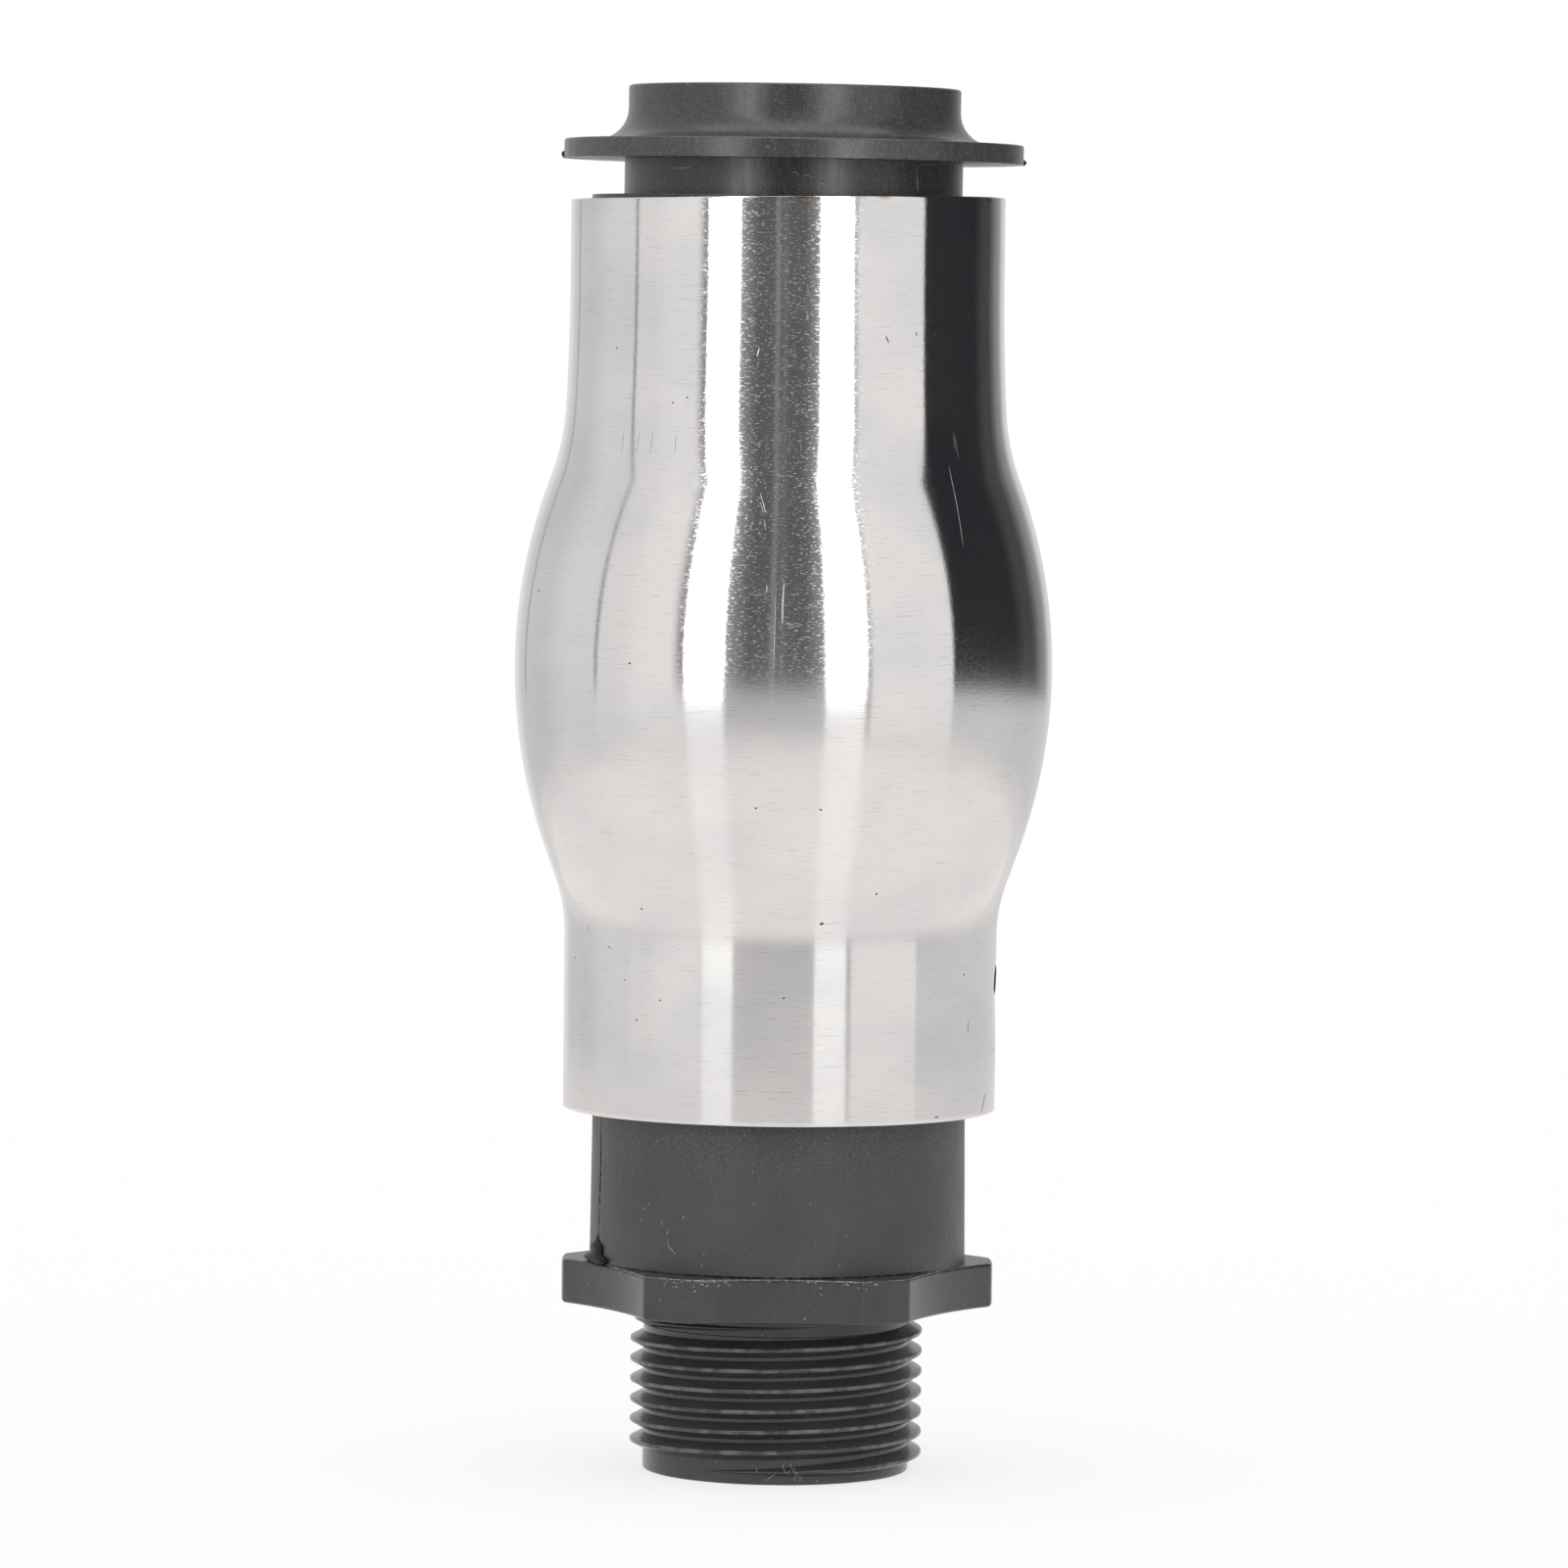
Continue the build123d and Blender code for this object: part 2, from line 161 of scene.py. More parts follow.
# Marks on the sleeve: pits are (azimuth, height, size), the rest (path of (azimuth, height), width)
SLEEVE_PITS = (
    (-50.1, 127.5, 0.34), (-30.3, 121.5, 0.30), (-26.1, 122.1, 0.30), (-67.2, 100.2, 0.40),
    (-33.9, 92.7, 0.34), (-5.7, 77.0, 0.30), (8.6, 76.9, 0.30), (-38.3, 65.1, 0.34),
    (24.4, 67.3, 0.34), (10.6, 64.0, 0.55), (-70.5, 58.7, 0.36), (-51.2, 60.5, 0.30),
    (-44.9, 57.0, 0.30), (-40.5, 52.6, 0.34), (-32.8, 55.0, 0.30), (1.0, 55.7, 0.34),
    (81.5, 48.4, 0.60), (57.0, 57.7, 0.36),
)
PIT_TILT = 0.35
PIT_SLIMNESS = 0.8
BACK_PITS = 16
BACK_AZIMUTHS = (95, 265)
BACK_HEIGHTS = (44, 140)
BACK_SIZES = (0.26, 0.40)
SLEEVE_NICKS = (
    (((-8.1, 126.5), (-7.4, 127.8)), 0.36),
    (((26.3, 129.2), (27.3, 128.3)), 0.24),
    (((35.5, 129.6), (35.8, 129.1)), 0.22),
    (((41.6, 129.1), (42.4, 129.6)), 0.14),
    (((-61.4, 61.9), (-61.0, 62.7)), 0.16),
    (((45.2, 41.9), (46.8, 42.0)), 0.22),
    (((59.6, 52.4), (59.5, 51.1)), 0.20),
    (((71.8, 44.0), (70.2, 42.9), (68.0, 41.5)), 0.30),
)
DENT_LIP = ((89.4, 57.9), (88.8, 56.4), (89.2, 54.4))
DENT_LIP_WIDTH = 0.5
DENT_LIP_RISE = 0.13
SLEEVE_BRIGHT = (
    (((-7.7, 126.7), (-7.1, 127.7)), 0.24),
    (((-5.9, 111.8), (-5.1, 110.6)), 0.08),
    (((-5.2, 110.9), (-4.4, 109.4)), 0.12),
    (((-5.7, 110.7), (-4.9, 109.5)), 0.06),
    (((-4.7, 108.9), (-4.3, 107.6)), 0.07),
    (((0.0, 102.3), (-0.3, 99.5), (-0.3, 97.1)), 0.17),
    (((-1.8, 101.4), (-2.0, 91.7)), 0.07),
    (((-3.7, 101.7), (-3.7, 100.9)), 0.12),
    (((44.5, 114.9), (43.5, 105.4)), 0.06),
    (((-10.4, 108.0), (-10.5, 107.0)), 0.12),
)
BRIGHT_RISE = 0.02
TICK_LOW = 115.8
TICK_LOW_SPREAD = (-0.4, 0.6)
TICK_HIGH = 118.5
TICK_HIGH_SPREAD = (-0.6, 0.3)
TICK_LEAN = 0.2
TICK_AZIMUTHS = (-45.5, -40.4, -35.9, -28.7, -4.8, -3.0, -1.3, 0.9, 3.8, 8.6, 9.8, 47.7, 48.5)
TICK_WIDTH = 0.10

# Any mark: how far its middle rises and its edges and root lie sunk, and how it tapers and varies
MARK_RISE = 0.012
MARK_EDGE = 0.006
MARK_ROOT = 0.06
MARK_TAPER = 0.4
MARK_RAGGED = (0.35, 1.5)
LINE_RISE = 0.03
SKIN_REACH = 60.0

# G1 thread
THREAD_PITCH = 2.309
THREAD_DIAMETER = 33.249
THREAD_ROOT_DIAMETER = 30.291
THREAD_FLANK_ANGLE = 27.5
THREAD_CREST_WIDTH = 0.385
THREAD_CREST_RADIUS = 0.16
THREAD_CREST_STEPS = 4
THREAD_SUNK = 0.3
THREAD_START_AZIMUTH = -62.0
THREAD_START_HEIGHT = 1.14
THREAD_TURNS = 7.35
THREAD_STEPS_PER_TURN = 120
THREAD_START_FADE = 0.045
THREAD_END_FADE = 0.088
THREAD_FADED = 0.02
STUB_LOW = 1.3
STUB_HIGH = 16.75
STUB_SEGMENTS = 192
CORE_CLEARANCE = 0.015
CUTTER_MARGIN = 2.0
BASE_SHARP_ANGLE = 34.0

# Black plastic of base and collar, the extra grain where it was spark-eroded, and the pale tint on the
# thread's crests that paints their highlights
BASE_SHADE = (0.049, 0.0495, 0.051)
COLLAR_SHADE = (0.042, 0.0422, 0.0433)
ERODED_GRAIN = 0.014
ABOVE_ALL = 200.0
CREST_HIGHLIGHT_DEPTH = 0.18
CREST_HIGHLIGHT_LOW = 16.5
CREST_HIGHLIGHT_HIGH = 17.0

# Moulding marks on the base
FLANGE_TOP = 24.0
# The parting line is a real fin, drawn near black to paint the shadow that it casts
PARTING_LINE = ((-71.1, 41.1), (-71.3, 38.0), (-71.0, 35.2), (-71.5, 32.0), (-71.4, 29.4), (-71.9, 26.4))
PARTING_WIDTH = 0.85
BLOB_AZIMUTH = -72.2
BLOB_HEIGHT = 3.3
BLOB_HALF_WIDTH = 3.6
BLOB_DEPTH = 0.95
BLOB_OUTLINE = (0.55, 0.95, 1.0, 0.85, 0.60, 0.50, 0.52, 0.50, 0.34, 0.16, 0.06)
BLOB_SIDES = 16
BLOB_BACK = 0.25
BLOB_PROUD = 0.05
BLOB_TIP_PROUD = 0.04
BLOB_SUNK = 0.15
BLOB_TIP_SUNK = 0.2
BLOB_CLEAR = 0.2
BLOB_RAGGED = (0.88, 1.12)
FLASH_RISE = 0.05
# Painted shadow in the corner where the body meets the flange: a dark sliver, as (from azimuth, to azimuth,
# height, width)
CORNER_SHADOW = (-66.0, 62.0, 24.12, 0.20)
# A ridge of flash along the flange's top edge, its pale colour a painted highlight, with the same columns
FLASH_HIGHLIGHT = (-62.0, 60.0, 23.90, 0.13)
RIM_FLAKES = ((-31.0, -13.0, 26), (9.0, 27.0, 12), (-52.0, -34.0, 8))
FLAKE_BELOW_TOP = 0.12
FLAKE_SPREAD = 0.7
FLAKE_TURN = (0.15, 0.6)
FLAKE_TILT = 0.3
FLAKE_WIDTH = (0.06, 0.16)

# Parting line on the collar's neck, and the burrs at the ends of the skirt's lower edge
NECK_LINE_AZIMUTH = 47.3
NECK_LINE = (144.9, 148.6)
NECK_LINE_WIDTH = 0.14
SKIRT_BURRS = (((-91.0, 148.8), (-89.0, 149.7)), ((89.5, 148.55), (91.5, 149.1)))
BURR_WIDTH = 0.6
BURR_RISE = 0.26

# Lint: paths of (azimuth, height)
BODY_LINT = (
    ((-35.0, 27.9), (-34.9, 27.2), (-33.6, 26.8), (-32.1, 26.3)),
    ((-35.3, 28.9), (-35.1, 28.4)),
    ((-37.4, 30.0), (-37.2, 29.4)),
    ((-44.9, 31.1), (-44.1, 31.2)),
    ((-29.9, 30.3), (-29.2, 30.8)),
    ((5.0, 2.9), (3.4, 2.2), (4.6, 1.5), (6.8, 1.9)),
    ((6.2, 2.7), (7.6, 1.7), (10.2, 1.4)),
    ((8.0, 2.3), (9.0, 1.0), (8.2, 0.5)),
    ((9.6, 1.2), (11.5, 0.9), (10.4, 0.4)),
    ((-4.0, 0.5), (-2.0, 0.9), (0.5, 1.4)),
    ((-8.0, 1.9), (-7.2, 1.5)),
)
NECK_LINT = (
    ((0.9, 147.1), (2.3, 147.2), (3.6, 146.75)),
    ((4.7, 146.75), (6.3, 146.9), (7.7, 146.5)),
    ((9.5, 146.2), (11.3, 145.95), (13.2, 145.4), (14.7, 145.7)),
    ((16.0, 145.1), (18.8, 144.9)),
    ((-45.5, 147.75), (-41.1, 147.55), (-37.7, 147.6), (-34.5, 147.8)),
)
LINT_WIDTH = 0.075
LINT_RISE = 0.05

# Dust and painted highlights: their pale tone, the heights between which pale glints painted for the lamps
# set in on the body (they cover the whole collar), and the grains of dust on the base
PALE_DUST_AND_HIGHLIGHTS = (0.42, 0.42, 0.41)
GLINTS_LOW = 29.0
GLINTS_HIGH = 41.5
DUST_RADIUS = 0.055
DUST_SMALLEST = 0.35
DUST_LARGEST = 1.25
DUST_TURN = 6.28
DUST_LOWEST = 0.3
DUST_PER_SQUARE_METRE = 26000.0
DUST_SEED = 11

SEED = 5


def around(radius, azimuth, height):
    """A point in metres, from a radius and a height in millimetres and an azimuth."""
    angle = radians(azimuth)
    return Vector((radius * sin(angle), -radius * cos(angle), height)) * MM


def walk(start, moves, step):
    """Points along straight runs and tangent arcs in the (radius, height) plane, starting upwards.

    A move is ("run", length) or ("arc", radius, turn), where a positive turn leans outwards."""
    points = [Vector(start)]
    heading = 0.0
    for move in moves:
        length = move[1] if move[0] == "run" else move[1] * abs(radians(move[2]))
        turn = 0.0 if move[0] == "run" else radians(move[2])
        steps = max(1, round(length / step))
        chord = length / steps
        if turn:
            chord = 2 * move[1] * sin(abs(turn) / steps / 2)
        for _ in range(steps):
            heading += turn / steps / 2
            points.append(points[-1] + chord * Vector((sin(heading), cos(heading))))
            heading += turn / steps / 2
    return points


def piece(name, mesh, finish, replaced=()):
    """A finished mesh as a piece of the nozzle, with its finish and the CAD nodes that it stands for."""
    item = loose(name, mesh)
    mesh.materials.clear()
    mesh.materials.append(finish)
    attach(item, ROOT)
    if replaced:
        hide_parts(*replaced)
    return item


def mesh_from(name, points, faces):
    """A mesh with its doubles merged, its normals turned outwards and smooth shading."""
    mesh = bpy.data.meshes.new(name)
    mesh.from_pydata([tuple(p) for p in points], [], faces)
    form = bmesh.new()
    form.from_mesh(mesh)
    bmesh.ops.remove_doubles(form, verts=form.verts, dist=1e-7)
    bmesh.ops.recalc_face_normals(form, faces=form.faces)
    form.to_mesh(mesh)
    form.free()
    mesh.shade_smooth()
    return mesh


def loose(name, mesh):
    """An object for a mesh, in the scene."""
    item = bpy.data.objects.new(name, mesh)
    bpy.context.scene.collection.objects.link(item)
    return item


def baked(item):
    """The evaluated mesh of an object with modifiers, as a plain mesh, with the object removed."""
    bpy.context.view_layer.update()
    graph = bpy.context.evaluated_depsgraph_get()
    mesh = bpy.data.meshes.new_from_object(item.evaluated_get(graph), depsgraph=graph)
    bpy.data.objects.remove(item)
    return mesh


class Value:
    """A shader socket that takes part in Python expressions: each operator adds its Math node."""

    def __init__(self, finish, socket):
        self.finish = finish
        self.socket = socket

    def math(self, operation, *values):
        return self.finish.add("ShaderNodeMath", {"operation": operation}, *values)

    def __add__(self, other):
        return self.math("ADD", self, other)

    def __sub__(self, other):
        return self.math("SUBTRACT", self, other)

    def __rsub__(self, other):
        return self.math("SUBTRACT", other, self)

    def __mul__(self, other):
        return self.math("MULTIPLY", self, other)

    __radd__ = __add__
    __rmul__ = __mul__

    def highest(self, other):
        return self.math("MAXIMUM", self, other)

    def ramp(self, low, high, out_low=0.0, out_high=1.0):
        """Smoothly from one value to another as this one goes from low to high."""
        settings = {"interpolation_type": "SMOOTHSTEP"}
        return self.finish.add("ShaderNodeMapRange", settings, self, low, high, out_low, out_high)

    def between(self, low, low_blur, high, high_blur):
        """1 from low to high and 0 outside, with a blurred border at each end."""
        return self.ramp(low - low_blur, low + low_blur) - self.ramp(high - high_blur, high + high_blur)

    def output(self, name):
        """Another output of the node that this value comes from."""
        return Value(self.finish, self.socket.node.outputs[name])


class Finish:
    """A shader tree under construction. One method adds any node: its settings first, then its sockets."""

    def __init__(self, tree):
        self.tree = tree
        tree.nodes.clear()

    def add(self, kind, settings, *values, **named):
        node = self.tree.nodes.new(kind)
        for key, value in settings.items():
            setattr(node, key, value)
        sockets = [s for s in node.inputs if s.enabled]
        for socket, value in zip(sockets, values):
            self.feed(socket, value)
        for name, value in named.items():
            self.feed(next(s for s in sockets if s.name == name.replace("_", " ")), value)
        return Value(self, next(s for s in node.outputs if s.enabled))

    def feed(self, socket, value):
        if isinstance(value, Value):
            self.tree.links.new(value.socket, socket)
        elif value is not None:
            socket.default_value = value

    def end(self, kind, shader):
        """The tree's output node, of a surface or of the world."""
        output = self.tree.nodes.new(kind)
        self.tree.links.new(shader.socket, output.inputs["Surface"])

    def place(self):
        """Object coordinates, in metres."""
        return self.add("ShaderNodeTexCoord", {}).output("Object")

    def stretched(self, place, *factors):
        """Coordinates scaled by a factor for each axis, so that noise has as many cells to the metre."""
        return self.add("ShaderNodeVectorMath", {"operation": "MULTIPLY"}, place, factors)

    def noise(self, place, scale, detail=2.0, roughness=0.5):
        """Smooth noise from 0 to 1."""
        return self.add("ShaderNodeTexNoise", {}, place, Scale=scale, Detail=detail, Roughness=roughness)

    def parts(self, vector):
        """The three numbers of a vector."""
        x = self.add("ShaderNodeSeparateXYZ", {}, vector)
        return x, x.output("Y"), x.output("Z")

    def azimuth(self, x, y):
        """Degrees from the front, right positive."""
        return x.math("ARCTAN2", x, y * -1.0) * degrees(1)

    def blend(self, share, first, second):
        """A colour between two colours."""
        return self.add("ShaderNodeMix", {"data_type": "RGBA"}, share, colour(first), colour(second))

    def relief(self, height):
        """A surface normal from a height in millimetres."""
        return self.add("ShaderNodeBump", {}, Strength=1.0, Distance=MM, Height=height)


def colour(value):
    """A colour with its alpha, or a socket as it is."""
    return value if isinstance(value, Value) else (*value, 1.0)


def new_finish(name):
    """A new material and the finish that builds its nodes."""
    material = bpy.data.materials.new(name)
    material.use_nodes = True
    return material, Finish(material.node_tree)


def principled(finish, base, roughness, normal, **fixed):
    """The surface shader, with what varies linked and what doesn't set on its own sockets."""
    varying = {"Base_Color": colour(base), "Roughness": roughness, "Normal": normal}
    shader = finish.add("ShaderNodeBsdfPrincipled", {}, **varying, **fixed)
    finish.end("ShaderNodeOutputMaterial", shader)


def steel_finish():
    """Polished steel: a belt's fine strokes run round the axis, with duller specks towards the front and
    back, faint clouds, and a straw tint at the mouth."""
    material, f = new_finish("polished_steel_finish")
    place = f.place()
    x, _, height = f.parts(place)
    grain = f.noise(f.stretched(place, 2300, 2300, 4600), 1.0, 2.0, 0.7)
    strokes = f.noise(f.stretched(place, 430, 430, 6800), 1.0, 1.0, 0.5)
    specks = f.noise(f.stretched(place, 2000, 2000, 6200), 1.0, 1.0, 0.5).ramp(0.53, 0.70)
    specks = specks * (x * x).ramp((SPECKS_MANY * MM) ** 2, (SPECKS_FEW * MM) ** 2, 1.0, 0.25)
    specks = specks * height.ramp(SPECKS_LOW * MM, SPECKS_HIGH * MM)
    stroke_depth = height.ramp(SPECKS_LOW * MM, SPECKS_HIGH * MM, 0.0028, 0.0018)
    clouds = f.noise(f.stretched(place, 60, 60, 95), 1.0, 2.0, 0.5)
    waves = f.noise(f.stretched(place, 48, 48, 75), 1.0, 0.0, 0.5)
    base = f.blend(clouds.ramp(0.35, 0.65), (0.735, 0.728, 0.735), (0.80, 0.788, 0.778))
    base = f.blend(strokes.ramp(0.60, 0.74) * 0.30, base, (0.50, 0.49, 0.485))
    tint = height.ramp(TINT_LOW * MM, TINT_HIGH * MM) * f.noise(place, 240.0, 1.0).ramp(0.50, 0.62)
    base = f.blend(tint * 0.8, base, STRAW)
    roughness = 0.11 + specks * 0.18
    normal = f.relief(waves * 0.07 + grain * 0.004 + strokes * stroke_depth)
    principled(f, base, roughness, normal, Metallic=1.0, Anisotropic=0.95, Anisotropic_Rotation=0.25)
    return material


def plastic_finish(name, shade, matt_from, matt, gloss, grain):
    """Moulded black plastic: eroded and matt above a height, glossier below it, rubbed and dusty, with
    painted highlights: pale glints of the lamps high on the body and all over the collar, and a pale tint
    on the thread's crests.
    """
    material, f = new_finish(name)
    place = f.place()
    x, y, height = f.parts(place)
    body = height.ramp((matt_from - 0.1) * MM, (matt_from + 0.1) * MM)
    crest = THREAD_DIAMETER / 2 * MM
    # Painted highlight: a patchy pale tint on the thread's crests, down to a depth below them and ending
    # below a height
    crest_highlight = (x * x + y * y).ramp((crest - CREST_HIGHLIGHT_DEPTH * MM) ** 2, crest ** 2)
    crest_highlight = crest_highlight * (1 - height.ramp(CREST_HIGHLIGHT_LOW * MM, CREST_HIGHLIGHT_HIGH * MM))
    crest_highlight = crest_highlight * f.noise(place, 420.0, 2.0).ramp(0.40, 0.62)
    fine = f.noise(place, 4200.0, 2.0, 0.7)
    rubbed = f.noise(f.stretched(place, 1500, 1500, 170), 1.0, 2.0, 0.6)
    cloud = f.noise(place, 130.0, 3.0, 0.55)
    cells = f.add("ShaderNodeTexVoronoi", {}, place, Scale=1100.0)
    dust = cells.ramp(0.16, 0.06) * f.noise(place, 1500.0, 0.0).ramp(0.62, 0.70)
    # Painted glints of the lamps: pale specks that set in up the body, lifting its shade under the sleeve,
    # and cover the collar
    painted_glints = f.noise(place, 4200.0, 1.0, 0.6).ramp(0.46, 0.72) * height.ramp(GLINTS_LOW * MM, GLINTS_HIGH * MM)
    base = f.blend(cloud.ramp(0.3, 0.7), [c * 0.90 for c in shade], [c * 1.10 for c in shade])
    base = f.blend(rubbed.ramp(0.55, 0.75) * 0.25, base, [c * 1.6 for c in shade])
    base = f.blend(painted_glints * 0.14 + crest_highlight * 0.22, base, PALE_DUST_AND_HIGHLIGHTS)
    base = f.blend(dust * 0.5, base, PALE_DUST_AND_HIGHLIGHTS)
    roughness = gloss + body * (matt - gloss) + rubbed.ramp(0.35, 0.7) * 0.08 + dust * 0.3
    principled(f, base, roughness, f.relief(fine * (grain + body * ERODED_GRAIN)))
    return material


def rubber_finish():
    """Dull black rubber with fine flow marks."""
    material, f = new_finish("seal_rubber_finish")
    fine = f.noise(f.place(), 3000.0, 3.0, 0.6)
    base = f.blend(fine, (0.018, 0.018, 0.019), (0.035, 0.035, 0.036))
    principled(f, base, 0.55 + fine * 0.15, f.relief(fine * 0.006))
    return material


def screw_finish():
    """Bright plated steel with rolled marks."""
    material, f = new_finish("screw_steel_finish")
    marks = f.noise(f.place(), 2600.0, 3.0, 0.6)
    base = f.blend(marks, (0.52, 0.52, 0.52), (0.68, 0.68, 0.67))
    principled(f, base, 0.24 + marks * 0.15, f.relief(marks * 0.005), Metallic=1.0)
    return material


def mark_finish(name, low, high, roughness, specular=0.5):
    """A small mark's finish: uneven between two tones."""
    material, f = new_finish(name)
    uneven = f.noise(f.place(), 5200.0, 2.0, 0.6)
    base = f.blend(uneven.ramp(0.3, 0.7), low, high)
    principled(f, base, roughness + uneven * 0.1, f.relief(uneven * 0.004), Specular_IOR_Level=specular)
    return material


def sleeve_moves(inset):
    """The sleeve's wall from its lower end to its mouth, as runs and arcs `inset` under its outer face."""
    low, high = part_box("steel_sleeve")
    arcs = BULGE_RADIUS + FLARE_RADIUS
    rise = high.x / MM - SLEEVE_DIAMETER / 2
    flare = atan2(arcs, CONE_LENGTH) - asin((arcs - rise) / hypot(arcs, CONE_LENGTH))
    ease = radians(EASE_TURN)
    level = BULGE_RADIUS + SHOULDER_RADIUS * cos(ease) + EASE_RADIUS * (1 - cos(ease)) - rise
    shoulder = acos(level / (BULGE_RADIUS + SHOULDER_RADIUS))
    lower = BULGE_HEIGHT_IN_SLEEVE - arcs * sin(flare) - CONE_LENGTH * cos(flare)
    length = (high.z - low.z) / MM
    shoulder_height = (BULGE_RADIUS + SHOULDER_RADIUS) * sin(shoulder)
    ease_height = (EASE_RADIUS - SHOULDER_RADIUS) * sin(ease)
    upper = length - BULGE_HEIGHT_IN_SLEEVE - shoulder_height - ease_height
    return (
        ("run", lower),
        ("arc", FLARE_RADIUS + inset, degrees(flare)),
        ("run", CONE_LENGTH),
        ("arc", BULGE_RADIUS - inset, -degrees(flare + shoulder)),
        ("arc", SHOULDER_RADIUS + inset, degrees(shoulder) - EASE_TURN),
        ("arc", EASE_RADIUS + inset, EASE_TURN),
        ("run", upper),
    )


def sleeve_outline():
    """The closed outline of the sleeve's wall, with its cut edges rounded."""
    low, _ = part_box("steel_sleeve")
    radius = SLEEVE_DIAMETER / 2
    outer = walk((radius, low.z / MM), sleeve_moves(0), SLEEVE_OUTER_STEP)
    inner = walk((radius - SLEEVE_WALL, low.z / MM), sleeve_moves(SLEEVE_WALL), SLEEVE_INNER_STEP)
    loop = outer + inner[::-1]
    corners = (0, len(outer) - 1, len(outer), len(loop) - 1)
    return rounded(loop, corners, SLEEVE_EDGE_RADIUS, SLEEVE_EDGE_STEPS)


def rounded(loop, corners, radius, steps):
    """A closed outline with some of its right-angled corners rounded."""
    result = []
    for index, point in enumerate(loop):
        if index not in corners:
            result.append(point)
            continue
        before = (loop[index - 1] - point).normalized()
        after = (loop[(index + 1) % len(loop)] - point).normalized()
        centre = point + (before + after) * radius
        for step in range(steps + 1):
            angle = pi / 2 * step / steps
            result.append(centre - after * radius * cos(angle) - before * radius * sin(angle))
    return result


def spun(name, outline, segments, offset=None):
    """A closed outline of (radius, height) points turned into a body round the axis."""
    points = []
    faces = []
    count = len(outline)
    for segment in range(segments):
        azimuth = 360.0 * segment / segments
        for radius, height in outline:
            shift = offset(azimuth, height) if offset else 0.0
            points.append(around(radius + shift, azimuth, height))
        for row in range(count):
            a = segment * count + row
            b = segment * count + (row + 1) % count
            c = (segment + 1) % segments * count + (row + 1) % count
            d = (segment + 1) % segments * count + row
            faces.append((a, b, c, d))
    return mesh_from(name, points, faces)


def sleeve_dent(azimuth, height):
    """How far the sleeve's wall is pushed in at a place, in millimetres."""
    across = ((azimuth - DENT_AZIMUTH + 180) % 360 - 180) / DENT_HALF_WIDTH
    along = (height - DENT_HEIGHT) / DENT_HALF_HEIGHT
    reach = across * across + along * along
    return -DENT_DEPTH * (1 - reach) ** 2 if reach < 1 else 0.0


def cut_askew(mesh):
    """A sleeve whose mouth is cut a little out of square: higher on the right, lower on the left."""
    for vertex in mesh.vertices:
        share = max(0.0, (vertex.co.z / MM - MOUTH_SKEW_FROM) / (MOUTH - MOUTH_SKEW_FROM))
        vertex.co.z += MOUTH_SKEW * share * vertex.co.x / (SLEEVE_DIAMETER / 2)
    return mesh


class Skin:
    """Finds places on the outer face of a finished mesh."""

    def __init__(self, mesh):
        form = bmesh.new()
        form.from_mesh(mesh)
        self.tree = BVHTree.FromBMesh(form)
        form.free()

    def at(self, azimuth, height):
        """The place and the outward direction where a level ray from outside meets the mesh."""
        outward = around(1.0, azimuth, 0.0).normalized()
        place, normal, _, _ = self.tree.ray_cast(around(SKIN_REACH, azimuth, height), -outward)
        return place, normal


class Lot:
    """Points and faces of many small closed forms that make one mesh."""

    def __init__(self):
        self.points = []
        self.faces = []

    def add(self, points, faces):
        first = len(self.points)
        self.points += points
        self.faces += [[first + index for index in face] for face in faces]

    def rings(self, start, rings, end):
        """A closed form from a tip through rings of as many points each to another tip."""
        count = len(rings[0])
        points = [start] + [point for ring in rings for point in ring] + [end]
        last = len(points) - 1
        faces = []
        for side in range(count):
            following = (side + 1) % count
            faces.append((0, 1 + following, 1 + side))
            faces.append((last, last - count + side, last - count + following))
            for row in range(len(rings) - 1):
                a = 1 + row * count
                faces.append((a + side, a + following, a + count + following, a + count + side))
        self.add(points, faces)

    def mesh(self, name):
        return mesh_from(name, self.points, self.faces)


def along(path, share):
    """The (azimuth, height) at a share of a path's spans."""
    spans = len(path) - 1
    span = min(int(share * spans), spans - 1)
    rest = share * spans - span
    return tuple(a + (b - a) * rest for a, b in zip(path[span], path[span + 1]))


def sliver(lot, skin, path, width, rise=MARK_RISE, steps=8, ragged=None):
    """A thin closed mark along a path on a skin, raised along its middle and pointed at both ends."""
    places = [skin.at(*along(path, step / steps)) for step in range(steps + 1)]
    rings = []
    for step in range(1, steps):
        place, normal = places[step]
        way = (places[step + 1][0] - places[step - 1][0]).normalized()
        side = normal.cross(way).normalized()
        share = sin(pi * step / steps) ** MARK_TAPER
        if ragged:
            share *= ragged.uniform(*MARK_RAGGED)
        reach = side * width * MM / 2 * share
        edge = place - normal * MARK_EDGE * MM
        crest = place + normal * rise * MM * share
        root = place - normal * MARK_ROOT * MM
        rings.append((edge + reach, crest, edge - reach, root))
    lot.rings(places[0][0], rings, places[-1][0])


def pit(lot, skin, azimuth, height, size, draw):
    """A small dark spot with an uneven outline."""
    turn = size / SLEEVE_DIAMETER * degrees(1)
    tilt = draw.uniform(-PIT_TILT, PIT_TILT) * size
    path = ((azimuth - turn, height - tilt), (azimuth + turn, height + tilt))
    sliver(lot, skin, path, size * PIT_SLIMNESS, steps=6)


